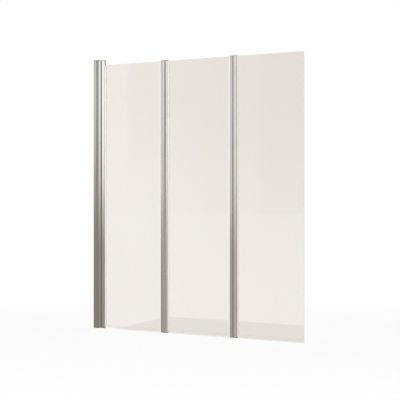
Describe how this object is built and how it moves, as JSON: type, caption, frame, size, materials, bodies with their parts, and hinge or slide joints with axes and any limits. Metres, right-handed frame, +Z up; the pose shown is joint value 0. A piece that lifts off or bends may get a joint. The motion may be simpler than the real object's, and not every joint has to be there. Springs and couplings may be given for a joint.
{
  "type": "folding bath screen",
  "caption": "Folding glass bath screen: clear frameless panels joined by full-height pivoting profiles, on an adjusting wall channel.",
  "frame": {"origin": "on the wall, in the middle plane of the glass, at the foot of the wall channel, level with the bath rim", "axes": "+X along the screen from the wall to its free edge, +Y into the bath, +Z up"},
  "size_m": [1.2, 0.0272, 1.4],
  "materials": {
    "chrome_profile": "polished",
    "grey_cap": "satin",
    "steel": "plain",
    "nylon": "plain",
    "clear_vinyl": "clear, soft",
    "pane": "clear, polished edges"
  },
  "bodies": {
    "wall_side": {"wall_channel": "chrome_profile", "channel_top_cap": "grey_cap", "adjuster_screws": "steel", "adjuster_nuts": "steel", "adjuster_covers": "grey_cap"},
    "jamb_side": {"jamb_profile": "chrome_profile", "jamb_top_cap": "grey_cap", "jamb_bottom_cap": "grey_cap", "jamb_cap_screws": "steel", "wall_pivot_pins": "steel", "wall_pivot_seal": "clear_vinyl"},
    "panel_1": {"stile_profile": "chrome_profile", "stile_bushes": "nylon", "stile_top_cap": "grey_cap", "stile_bottom_cap": "grey_cap", "glass_1": "pane", "glass_1_gaskets": "clear_vinyl", "bottom_seal_1": "clear_vinyl", "fold_1_socket_profile": "chrome_profile", "fold_1_top_cap": "grey_cap", "fold_1_bottom_cap": "grey_cap", "fold_1_socket_screws": "steel", "fold_1_pins": "steel", "fold_1_seal": "clear_vinyl"},
    "panel_2": {"fold_1_barrel_profile": "chrome_profile", "fold_1_bushes": "nylon", "fold_1_barrel_caps": "grey_cap", "fold_1_barrel_screws": "steel", "glass_2": "pane", "glass_2_gaskets": "clear_vinyl", "bottom_seal_2": "clear_vinyl", "fold_2_barrel_profile": "chrome_profile", "fold_2_bushes": "nylon", "fold_2_barrel_caps": "grey_cap", "fold_2_barrel_screws": "steel"},
    "panel_3": {"fold_2_socket_profile": "chrome_profile", "fold_2_top_cap": "grey_cap", "fold_2_bottom_cap": "grey_cap", "fold_2_socket_screws": "steel", "fold_2_pins": "steel", "fold_2_seal": "clear_vinyl", "glass_3": "pane", "glass_3_gasket": "clear_vinyl", "bottom_seal_3": "clear_vinyl"}
  },
  "joints": [
    {"name": "width_adjust", "type": "slide", "parent": "wall_side", "child": "jamb_side", "axis": [1, 0, 0], "range_m": [-0.006, 0.006]},
    {"name": "wall_pivot", "type": "hinge", "parent": "jamb_side", "child": "panel_1", "pos_m": [0.045, 0, 0.7], "axis": [0, 0, 1], "range_deg": [0, 90]},
    {"name": "fold_1", "type": "hinge", "parent": "panel_1", "child": "panel_2", "pos_m": [0.4345, -0.0075, 0.685], "axis": [0, 0, -1], "range_deg": [0, 180]},
    {"name": "fold_2", "type": "hinge", "parent": "panel_2", "child": "panel_3", "pos_m": [0.824, 0.0075, 0.685], "axis": [0, 0, 1], "range_deg": [0, 180]}
  ]
}
